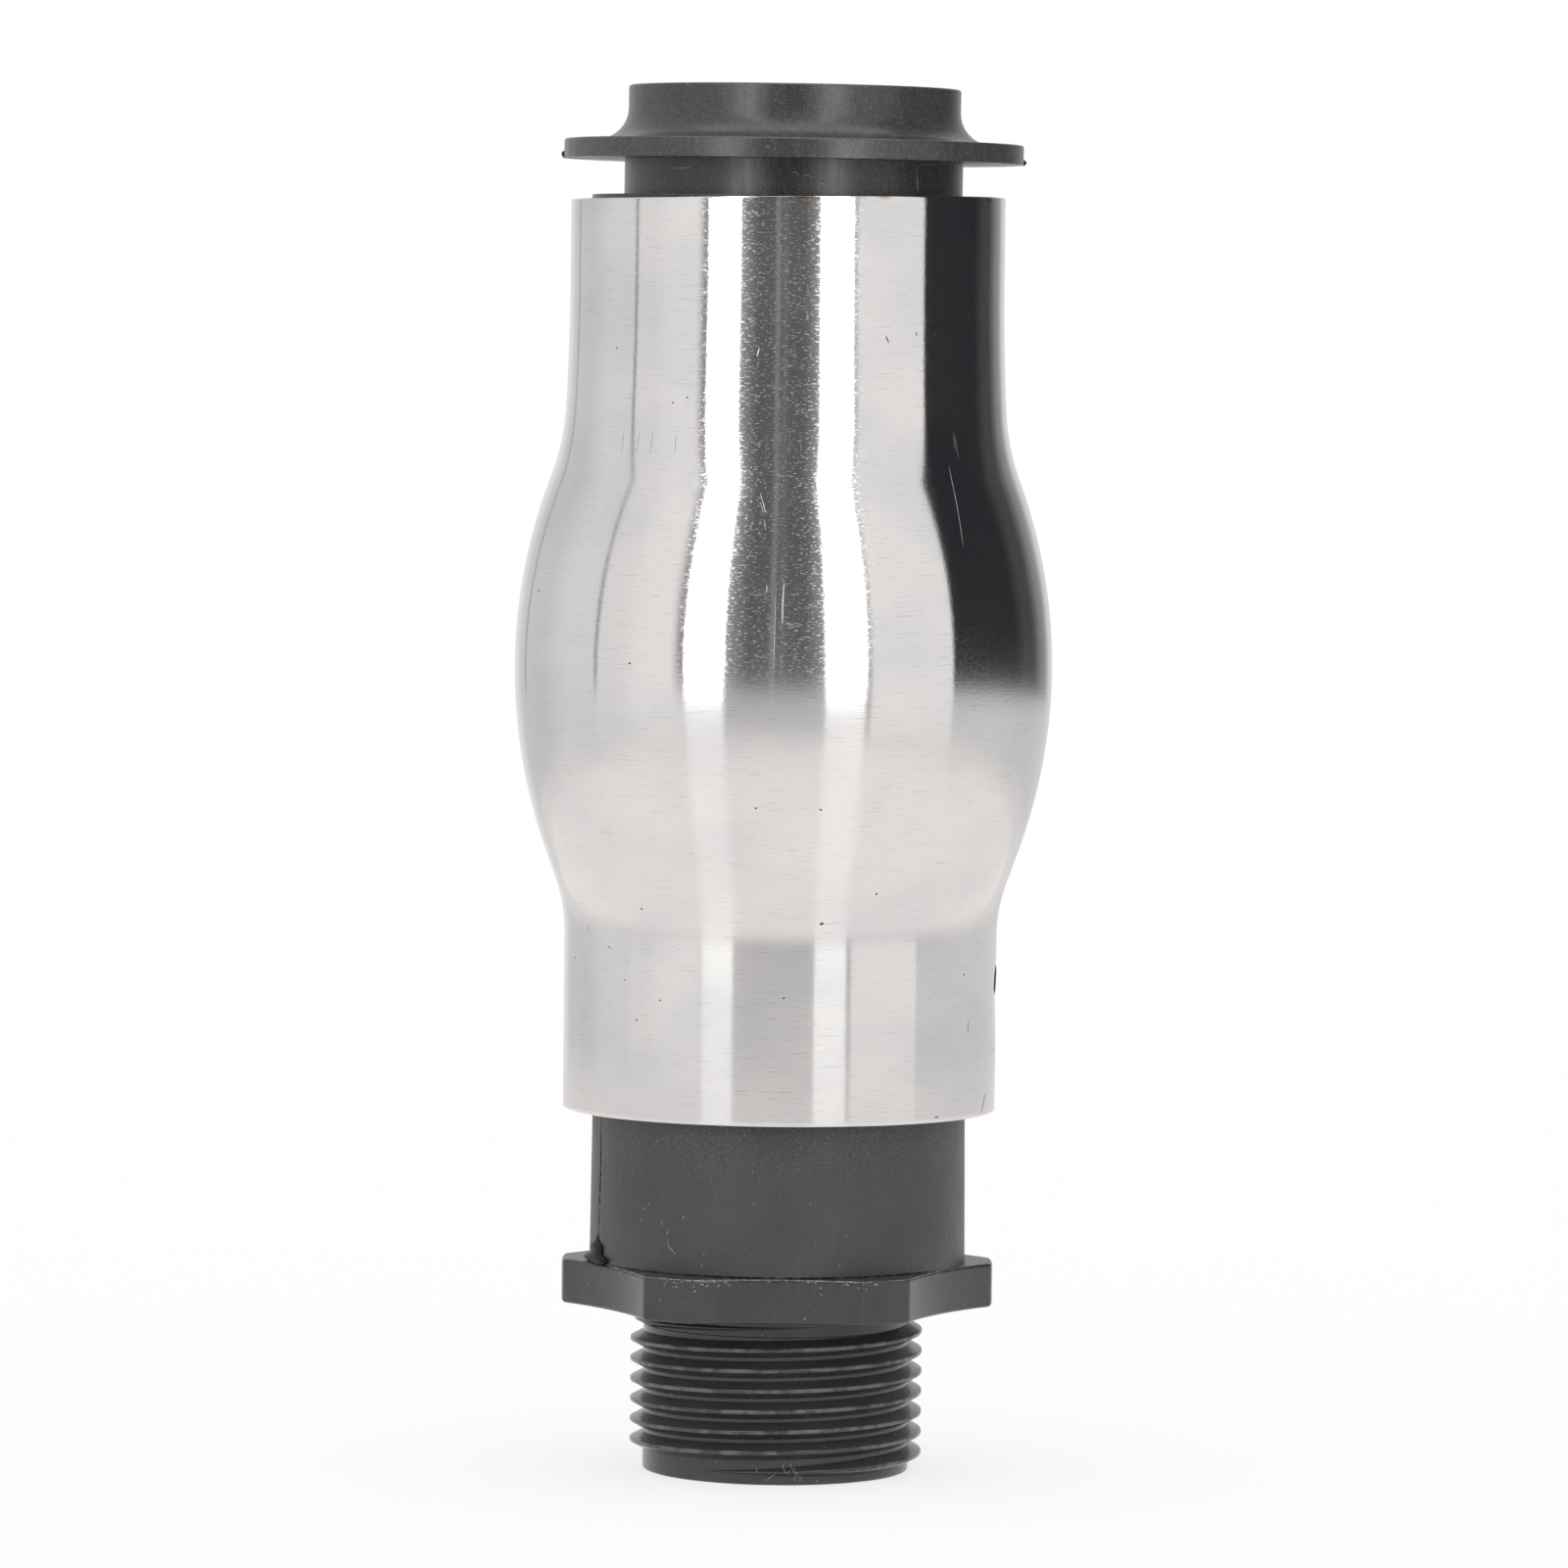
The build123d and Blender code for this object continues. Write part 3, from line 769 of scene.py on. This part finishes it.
def sleeve_marks(skin):
    """The sleeve's dark pits and nicks, its brownish ticks and its bright scratches, as three meshes."""
    draw = Random(SEED)
    dark, ticks, bright = Lot(), Lot(), Lot()
    for azimuth, height, size in SLEEVE_PITS:
        pit(dark, skin, azimuth, height, size, draw)
    for _ in range(BACK_PITS):
        azimuth, height, size = (draw.uniform(*span) for span in (BACK_AZIMUTHS, BACK_HEIGHTS, BACK_SIZES))
        pit(dark, skin, azimuth, height, size, draw)
    for path, width in SLEEVE_NICKS:
        sliver(dark, skin, path, width)
    sliver(dark, skin, DENT_LIP, DENT_LIP_WIDTH, rise=DENT_LIP_RISE)
    for azimuth in TICK_AZIMUTHS:
        foot = TICK_LOW + draw.uniform(*TICK_LOW_SPREAD)
        top = TICK_HIGH + draw.uniform(*TICK_HIGH_SPREAD)
        lean = draw.uniform(-TICK_LEAN, TICK_LEAN)
        sliver(ticks, skin, ((azimuth, foot), (azimuth + lean, top)), TICK_WIDTH)
    for path, width in SLEEVE_BRIGHT:
        sliver(bright, skin, path, width, rise=BRIGHT_RISE)
    return dark.mesh("sleeve_pits"), ticks.mesh("sleeve_ticks"), bright.mesh("sleeve_scratches")


def base_marks(skin):
    """The base's parting lines, drawn dark to paint their shadow, with a lump of flash; a dark sliver that
    paints the shadow in the corner over the flange; the flash on the flange's top edge, pale to paint its
    highlight; and pale flakes.
    """
    draw = Random(SEED + 1)
    dark, pale = Lot(), Lot()
    # Near black, to paint the shadow along the parting line and along a thinner line on the far side
    sliver(dark, skin, PARTING_LINE, PARTING_WIDTH, rise=LINE_RISE, steps=40, ragged=draw)
    opposite = [(azimuth + 180, height) for azimuth, height in PARTING_LINE]
    sliver(dark, skin, opposite + [(opposite[-1][0], CORNER_SHADOW[2])], PARTING_WIDTH / 4, steps=40, ragged=draw)
    flash_lump(dark, skin, draw)
    # The dark sliver paints the corner's shadow, and the pale ridge's colour paints the highlight along the
    # flange's top edge
    for lot, (start, end, height, width) in ((dark, CORNER_SHADOW), (pale, FLASH_HIGHLIGHT)):
        sliver(lot, skin, ((start, height), (end, height)), width, rise=FLASH_RISE, steps=160, ragged=draw)
    for start, end, count in RIM_FLAKES:
        for _ in range(count):
            azimuth = draw.uniform(start, end)
            height = FLANGE_TOP - FLAKE_BELOW_TOP - abs(draw.gauss(0.0, FLAKE_SPREAD))
            turn = draw.uniform(*FLAKE_TURN)
            tilt = draw.uniform(-FLAKE_TILT, FLAKE_TILT)
            path = ((azimuth - turn, height), (azimuth + turn, height + tilt))
            sliver(pale, skin, path, draw.uniform(*FLAKE_WIDTH), rise=LINE_RISE, steps=6)
    return dark.mesh("parting_flash_and_shadows"), pale.mesh("flange_flakes_and_highlight")


def flash_lump(lot, skin, draw):
    """The ragged lump of flash at the parting line's foot: wide at the flange, running up to a point."""
    rings = []
    for row, outline in enumerate(BLOB_OUTLINE):
        height = FLANGE_TOP - BLOB_SUNK + (BLOB_HEIGHT + BLOB_SUNK) * row / len(BLOB_OUTLINE)
        place, normal = skin.at(BLOB_AZIMUTH, max(height, FLANGE_TOP + BLOB_CLEAR))
        place = Vector((place.x, place.y, height * MM))
        side = normal.cross(Vector((0, 0, 1))).normalized()
        slim = outline * draw.uniform(*BLOB_RAGGED)
        ring = []
        for step in range(BLOB_SIDES):
            turn = 2 * pi * step / BLOB_SIDES
            out = max(cos(turn), -BLOB_BACK) * BLOB_DEPTH * slim * draw.uniform(*BLOB_RAGGED) + BLOB_PROUD
            ring.append(place + (side * sin(turn) * BLOB_HALF_WIDTH * slim + normal * out) * MM)
        rings.append(ring)
    low, _ = skin.at(BLOB_AZIMUTH, FLANGE_TOP + BLOB_CLEAR)
    high, normal = skin.at(BLOB_AZIMUTH, FLANGE_TOP + BLOB_HEIGHT)
    foot = Vector((low.x, low.y, (FLANGE_TOP - BLOB_TIP_SUNK) * MM))
    lot.rings(foot, rings, high + normal * BLOB_TIP_PROUD * MM)


def lint(name, skin, paths):
    """Pale lint that lies on a moulding."""
    lot = Lot()
    for path in paths:
        sliver(lot, skin, path, LINT_WIDTH, rise=LINT_RISE, steps=6 * (len(path) - 1))
    return lot.mesh(name)


class Tree:
    """A Geometry Nodes tree under construction, with named inputs for its sizes."""

    def __init__(self, name, inputs):
        self.group = bpy.data.node_groups.new(name, "GeometryNodeTree")
        self.group.interface.new_socket("Geometry", in_out="OUTPUT", socket_type="NodeSocketGeometry")
        self.group.interface.new_socket("Surface", in_out="INPUT", socket_type="NodeSocketGeometry")
        self.sockets = {}
        for label, value in inputs.items():
            kind = "NodeSocketInt" if isinstance(value, int) else "NodeSocketFloat"
            socket = self.group.interface.new_socket(label, in_out="INPUT", socket_type=kind)
            self.sockets[socket.identifier] = value
        self.entry = self.group.nodes.new("NodeGroupInput")
        self.exit = self.group.nodes.new("NodeGroupOutput")

    def __getitem__(self, label):
        return self.entry.outputs[label]

    def add(self, kind, settings=None, values=None, output=0):
        """Adds a node, sets its settings, feeds its sockets and returns one of its outputs."""
        node = self.group.nodes.new(kind)
        for key, value in (settings or {}).items():
            setattr(node, key, value)
        for key, value in (values or {}).items():
            socket = node.inputs[key]
            if isinstance(value, bpy.types.NodeSocket):
                self.group.links.new(value, socket)
            else:
                socket.default_value = value
        return node.outputs[output]

    def math(self, operation, *values):
        return self.add("ShaderNodeMath", {"operation": operation}, dict(enumerate(values)))

    def fade(self, place, length):
        """From 0 at a curve's end to 1 where the fade is over."""
        values = {"Value": place, "From Min": 0.0, "From Max": length}
        return self.add("ShaderNodeMapRange", {"interpolation_type": "SMOOTHSTEP"}, values)

    def mesh(self, name, geometry, finish, surface=None):
        """Ends the tree, runs it on a surface and returns what it makes as a plain mesh."""
        real = self.add("GeometryNodeRealizeInstances", values={0: geometry})
        finished = self.add("GeometryNodeSetMaterial", values={0: real, "Material": finish})
        self.group.links.new(finished, self.exit.inputs[0])
        item = loose(name, surface or bpy.data.meshes.new(name))
        modifier = item.modifiers.new("nodes", "NODES")
        modifier.node_group = self.group
        for identifier, value in self.sockets.items():
            modifier[identifier] = value
        return baked(item)


def thread_ridge(finish):
    """The thread's ridge: a trapezoid swept up a helix, faded out at both ends, its foot in the core."""
    root = THREAD_ROOT_DIAMETER / 2
    depth = THREAD_DIAMETER / 2 - root + THREAD_SUNK
    foot = THREAD_CREST_WIDTH + 2 * depth * tan(radians(THREAD_FLANK_ANGLE))
    tree = Tree("thread_ridge", {
        "Foot Radius": (root - THREAD_SUNK) * MM,
        "Depth": depth * MM,
        "Crest Width": THREAD_CREST_WIDTH * MM,
        "Foot Width": foot * MM,
        "Crest Radius": THREAD_CREST_RADIUS * MM,
        "Pitch": THREAD_PITCH * MM,
        "Turns": THREAD_TURNS,
        "Start Fade": THREAD_START_FADE,
        "End Fade": THREAD_END_FADE,
    })
    height = tree.math("MULTIPLY", tree["Pitch"], tree["Turns"])
    helix = tree.add("GeometryNodeCurveSpiral", values={
        "Resolution": THREAD_STEPS_PER_TURN, "Rotations": tree["Turns"], "Height": height,
        "Start Radius": tree["Foot Radius"], "End Radius": tree["Foot Radius"], "Reverse": True})
    helix = tree.add("GeometryNodeSetCurveNormal", {"mode": "Z_UP"}, {"Curve": helix})
    place = tree.add("GeometryNodeSplineParameter", output="Factor")
    rise = tree.fade(place, tree["Start Fade"])
    fall = tree.fade(tree.math("SUBTRACT", 1.0, place), tree["End Fade"])
    size = tree.math("MAXIMUM", tree.math("MINIMUM", rise, fall), THREAD_FADED)
    helix = tree.add("GeometryNodeSetCurveRadius", {}, {"Curve": helix, "Radius": size})
    section = tree.add("GeometryNodeCurvePrimitiveQuadrilateral", {"mode": "TRAPEZOID"}, {
        "Height": tree["Depth"], "Bottom Width": tree["Foot Width"], "Top Width": tree["Crest Width"],
        "Offset": 0.0})
    section = tree.add("GeometryNodeFilletCurve", {"mode": "POLY"}, {
        "Curve": section, "Count": THREAD_CREST_STEPS, "Radius": tree["Crest Radius"],
        "Limit Radius": True})
    lift = tree.add("ShaderNodeCombineXYZ", values={"Y": tree.math("MULTIPLY", tree["Depth"], 0.5)})
    section = tree.add("GeometryNodeTransform", values={"Geometry": section, "Translation": lift})
    turned = (0, 0, radians(-90))
    section = tree.add("GeometryNodeTransform", values={"Geometry": section, "Rotation": turned})
    swept = tree.add("GeometryNodeCurveToMesh", values={
        "Curve": helix, "Profile Curve": section, "Scale": size, "Fill Caps": True})
    mesh = tree.mesh("thread_ridge", swept, finish)
    turn = Matrix.Rotation(radians(THREAD_START_AZIMUTH - 90), 4, "Z")
    mesh.transform(Matrix.Translation((0, 0, THREAD_START_HEIGHT * MM)) @ turn)
    return mesh


def dust_grains(name, surface, finish):
    """Small grains of dust strewn over a moulding, half sunk in its face."""
    tree = Tree(name, {
        "Density": DUST_PER_SQUARE_METRE,
        "Radius": DUST_RADIUS * MM,
        "Lowest": DUST_LOWEST * MM,
        "Seed": DUST_SEED,
    })
    position = tree.add("GeometryNodeInputPosition")
    height = tree.add("ShaderNodeSeparateXYZ", values={0: position}, output="Z")
    above = tree.math("GREATER_THAN", height, tree["Lowest"])
    spots = tree.add("GeometryNodeDistributePointsOnFaces", {}, {
        "Mesh": tree["Surface"], "Selection": above, "Density": tree["Density"], "Seed": tree["Seed"]})
    grain = tree.add("GeometryNodeMeshIcoSphere", values={"Radius": tree["Radius"], "Subdivisions": 1})
    size = tree.add("FunctionNodeRandomValue", {"data_type": "FLOAT"}, {
        2: DUST_SMALLEST, 3: DUST_LARGEST, "Seed": tree["Seed"]}, output=1)
    turn = tree.add("FunctionNodeRandomValue", {"data_type": "FLOAT_VECTOR"}, {1: (DUST_TURN,) * 3})
    grains = tree.add("GeometryNodeInstanceOnPoints", values={
        "Points": spots, "Instance": grain, "Scale": size, "Rotation": turn})
    return tree.mesh(name, grains, finish, surface)


def cut_and_joined(body, cutters, additions):
    """A mesh with others cut from it and then joined to it, as one closed body."""
    item = loose("work", body)
    helpers = []
    for operation, meshes in (("DIFFERENCE", cutters), ("UNION", additions)):
        for mesh in meshes:
            helper = loose("helper", mesh)
            helpers.append(helper)
            modifier = item.modifiers.new(operation, "BOOLEAN")
            modifier.operation = operation
            modifier.solver = "EXACT"
            modifier.object = helper
    result = baked(item)
    for helper in helpers:
        bpy.data.objects.remove(helper)
    return result


def smoothed(mesh, angle):
    """Smooth shading that keeps edges sharper than an angle, and flat faces flat beside their fillets."""
    mesh.shade_smooth()
    mesh.set_sharp_from_angle(angle=radians(angle))
    item = loose("work", mesh)
    modifier = item.modifiers.new("weights", "WEIGHTED_NORMAL")
    modifier.keep_sharp = True
    modifier.weight = 50
    return baked(item)


def cad_copy(node):
    """A CAD node's mesh with its loose triangles merged."""
    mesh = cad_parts[node].data.copy()
    form = bmesh.new()
    form.from_mesh(mesh)
    bmesh.ops.remove_doubles(form, verts=form.verts, dist=2e-6)
    fresh = bpy.data.meshes.new(node + "_copy")
    form.to_mesh(fresh)
    form.free()
    if "custom_normal" in fresh.attributes:
        fresh.attributes.remove(fresh.attributes["custom_normal"])
    return fresh


def base_mesh(finish):
    """The base with its real thread in place of the plain stub."""
    core = THREAD_ROOT_DIAMETER / 2 - CORE_CLEARANCE
    outside = THREAD_DIAMETER / 2 + CUTTER_MARGIN
    ring = ((core, STUB_LOW), (outside, STUB_LOW), (outside, STUB_HIGH), (core, STUB_HIGH))
    cutter = spun("stub_cutter", ring, STUB_SEGMENTS)
    joined = cut_and_joined(cad_copy("threaded_base"), [cutter], [thread_ridge(finish)])
    return smoothed(joined, BASE_SHARP_ANGLE)


def set_camera():
    """The camera at the photograph's place."""
    data = bpy.data.cameras.new("camera")
    data.lens = CAMERA_LENS
    data.sensor_width = CAMERA_SENSOR
    data.clip_start = CAMERA_NEAREST * MM
    data.clip_end = CAMERA_FARTHEST * MM
    camera = loose("camera", data)
    tilt = Matrix.Rotation(radians(90 - CAMERA_PITCH), 4, "X")
    roll = Matrix.Rotation(radians(CAMERA_ROLL), 4, "Z")
    camera.matrix_world = Matrix.Translation(Vector(CAMERA_PLACE) * MM) @ tilt @ roll
    bpy.context.scene.camera = camera


def circle(radius, height, segments):
    """Points of a level circle, with the radius and height in millimetres."""
    return [around(radius, 360 * i / segments, height) for i in range(segments)]


def sheen(azimuth):
    """1 where the table mirrors the lamps, 0 elsewhere."""
    left = azimuth.between(LAMP_LEFT[0], SHEEN_BLUR, LAMP_LEFT[1], SHEEN_BLUR)
    right = azimuth.between(LAMP_RIGHT[0], SHEEN_BLUR, LAMP_RIGHT[1], SHEEN_BLUR)
    return left + right


def set_floor():
    """A pale round table top that keeps the nozzle's shadow."""
    mesh = bpy.data.meshes.new("floor")
    points = circle(FLOOR_RADIUS, FLOOR_HEIGHT, FLOOR_SEGMENTS)
    mesh.from_pydata([tuple(p) for p in points], [], [tuple(range(FLOOR_SEGMENTS))])
    floor = loose("floor", mesh)
    material, f = new_finish("floor_finish")
    x, y, _ = f.parts(f.place())
    path = f.add("ShaderNodeLightPath", {})
    glossy = path.output("Is Glossy Ray")
    seen = path.output("Is Camera Ray").highest(path.output("Is Transmission Ray")) * FLOOR_GLOW
    dull = f.add("ShaderNodeBsdfDiffuse", {}, colour(FLOOR_TONE))
    white = f.add("ShaderNodeEmission", {}, colour(WHITE), FLOOR_WHITE)
    mirrored = f.add("ShaderNodeEmission", {}, colour(TABLE_NEAR), 1.0 + sheen(f.azimuth(x, y)) * SHEEN)
    mixed = f.add("ShaderNodeMixShader", {}, seen, dull, white)
    mixed = f.add("ShaderNodeMixShader", {}, glossy, mixed, mirrored)
    f.end("ShaderNodeOutputMaterial", mixed)
    material.cycles.emission_sampling = "NONE"
    mesh.materials.append(material)


def set_wall():
    """The room, the lamps and the dark gaps between them, on a round wall that only glossy surfaces see."""
    mesh = bpy.data.meshes.new("studio_wall")
    points = circle(WALL_RADIUS, 0.0, WALL_SEGMENTS) + circle(WALL_RADIUS, WALL_HEIGHT, WALL_SEGMENTS)
    faces = []
    for side in range(WALL_SEGMENTS):
        following = (side + 1) % WALL_SEGMENTS
        faces.append((side, following, WALL_SEGMENTS + following, WALL_SEGMENTS + side))
    mesh.from_pydata([tuple(p) for p in points], [], faces)
    wall = loose("studio_wall", mesh)
    material, f = new_finish("studio_wall_finish")
    x, y, height = f.parts(f.place())
    azimuth = f.azimuth(x, y)
    height = height * (1 / MM)
    shown = TABLE_FAR
    for start, start_blur, end, end_blur, foot, tone in STUDIO:
        share = azimuth.between(start, start_blur, end, end_blur)
        if foot:
            share = share * height.ramp(foot - FOOT_BLUR, foot + FOOT_BLUR)
        shown = f.blend(share, shown, tone)
    path = f.add("ShaderNodeLightPath", {})
    clear = f.add("ShaderNodeBsdfTransparent", {})
    glow = f.add("ShaderNodeEmission", {}, shown, 1.0)
    mixed = f.add("ShaderNodeMixShader", {}, path.output("Is Glossy Ray"), clear, glow)
    f.end("ShaderNodeOutputMaterial", mixed)
    material.cycles.emission_sampling = "NONE"
    mesh.materials.append(material)


def set_world():
    """A white room for the camera and soft even light for the rest."""
    world = bpy.data.worlds.new("studio")
    world.use_nodes = True
    bpy.context.scene.world = world
    f = Finish(world.node_tree)
    _, _, up = f.parts(f.add("ShaderNodeTexCoord", {}).output("Generated"))
    path = f.add("ShaderNodeLightPath", {})
    even = f.blend(up.ramp(*ROOM_CHANGE), ROOM_LOW, ROOM_HIGH)
    seen = path.output("Is Camera Ray").highest(path.output("Is Transmission Ray"))
    light = f.blend(seen, f.blend(path.output("Is Glossy Ray"), even, CEILING), WHITE)
    f.end("ShaderNodeOutputWorld", f.add("ShaderNodeBackground", {}, light, 1.0))


set_camera()
set_floor()
set_wall()
set_world()
bpy.context.scene.view_settings.view_transform = "Standard"

STEEL = steel_finish()
BASE_PLASTIC = plastic_finish(
    "base_plastic_finish", BASE_SHADE, matt_from=FLANGE_TOP, matt=0.42, gloss=0.17, grain=0.005)
COLLAR_PLASTIC = plastic_finish(
    "collar_plastic_finish", COLLAR_SHADE, matt_from=ABOVE_ALL, matt=0.27, gloss=0.27, grain=0.011)
RUBBER = rubber_finish()
SCREW_STEEL = screw_finish()
PIT_FINISH = mark_finish("pit_finish", (0.02, 0.018, 0.016), (0.09, 0.075, 0.06), 0.6)
TICK_FINISH = mark_finish("tick_finish", (0.16, 0.13, 0.11), (0.36, 0.31, 0.28), 0.5)
SCRATCH_FINISH = mark_finish("scratch_finish", (0.72, 0.72, 0.71), (0.92, 0.92, 0.91), 0.45)
# Near black: the lump and burrs of flash, and the painted shadows of the parting lines and of the corner
# over the flange
FLASH_AND_SHADOW_FINISH = mark_finish("flash_and_shadow_finish", (0.005, 0.005, 0.005), (0.014, 0.014, 0.015), 0.30, 0.15)
# Pale: the neck's parting line, the flakes on the flange, and the painted highlight along the flange's top
# edge
PALE_FLASH_AND_HIGHLIGHT_FINISH = mark_finish("pale_flash_and_highlight_finish", (0.06, 0.06, 0.06), (0.55, 0.55, 0.54), 0.4)
LINT_FINISH = mark_finish("lint_finish", (0.30, 0.30, 0.29), (0.62, 0.61, 0.60), 0.8)
DUST_FINISH = mark_finish("dust_finish", (0.16, 0.16, 0.155), (0.44, 0.43, 0.41), 0.9)

for node, finish in (
    ("outlet_collar", COLLAR_PLASTIC),
    ("jet_plate", BASE_PLASTIC),
    ("jet_plate_seal", RUBBER),
    ("sleeve_seal", RUBBER),
    ("jet_plate_screws", SCREW_STEEL),
):
    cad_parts[node].material_slots[0].material = finish

sleeve = cut_askew(spun("spun_sleeve", sleeve_outline(), SLEEVE_SEGMENTS, sleeve_dent))
base = base_mesh(BASE_PLASTIC)
sleeve_skin = Skin(sleeve)
base_skin = Skin(base)
collar_skin = Skin(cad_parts["outlet_collar"].data)
pits, ticks, scratches = sleeve_marks(sleeve_skin)
parting_flash_and_shadows, flange_flakes_and_highlight = base_marks(base_skin)
neck_line, burrs = Lot(), Lot()
for azimuth in (NECK_LINE_AZIMUTH, NECK_LINE_AZIMUTH + 180):
    path = tuple((azimuth, height) for height in NECK_LINE)
    sliver(neck_line, collar_skin, path, NECK_LINE_WIDTH, rise=LINE_RISE)
for path in SKIRT_BURRS:
    sliver(burrs, collar_skin, path, BURR_WIDTH, rise=BURR_RISE, ragged=Random(SEED))

piece("base_dust", dust_grains("base_dust", base.copy(), DUST_FINISH), DUST_FINISH)
piece("spun_sleeve", sleeve, STEEL, ["steel_sleeve"])
piece("base_with_thread", base, BASE_PLASTIC, ["threaded_base"])
piece("sleeve_pits", pits, PIT_FINISH)
piece("sleeve_ticks", ticks, TICK_FINISH)
piece("sleeve_scratches", scratches, SCRATCH_FINISH)
piece("parting_flash_and_shadows", parting_flash_and_shadows, FLASH_AND_SHADOW_FINISH)
piece("flange_flakes_and_highlight", flange_flakes_and_highlight, PALE_FLASH_AND_HIGHLIGHT_FINISH)
piece("neck_parting_line", neck_line.mesh("neck_parting_line"), PALE_FLASH_AND_HIGHLIGHT_FINISH)
piece("skirt_burrs", burrs.mesh("skirt_burrs"), FLASH_AND_SHADOW_FINISH)
piece("base_lint", lint("base_lint", base_skin, BODY_LINT), LINT_FINISH)
piece("neck_lint", lint("neck_lint", collar_skin, NECK_LINT), LINT_FINISH)

bpy.context.view_layer.update()
